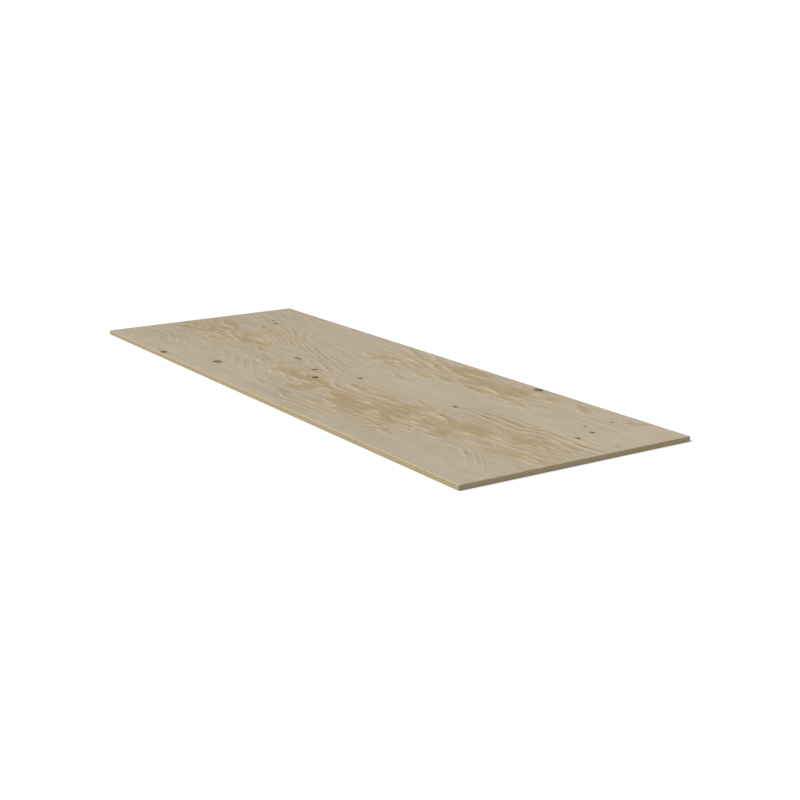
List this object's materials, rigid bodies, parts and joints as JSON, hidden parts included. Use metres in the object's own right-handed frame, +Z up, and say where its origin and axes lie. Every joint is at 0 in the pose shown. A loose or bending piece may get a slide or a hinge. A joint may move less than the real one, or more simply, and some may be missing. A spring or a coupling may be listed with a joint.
{
  "type": "plywood sheet",
  "caption": "Flat rectangular softwood plywood sheet of cross-laid veneers with square trimmed edges and knotty sanded faces, to be cut into panels, shelves, lining or sheathing.",
  "frame": {"origin": "centre of the underside", "axes": "+X along the length, which is the grain direction of the face; +Y across the width; +Z up, out of the face veneer"},
  "size_m": [1.83, 0.61, 0.012],
  "materials": {
    "face_veneer": "sanded rotary-peeled softwood, matte",
    "crossband": "rotary-peeled softwood, sawn edge",
    "core_veneer": "rotary-peeled softwood, sawn edge",
    "back_veneer": "sanded rotary-peeled softwood, matte"
  },
  "bodies": {
    "root": {"face_veneer": "face_veneer", "upper_crossband": "crossband", "core_veneer": "core_veneer", "lower_crossband": "crossband", "back_veneer": "back_veneer"}
  },
  "joints": []
}
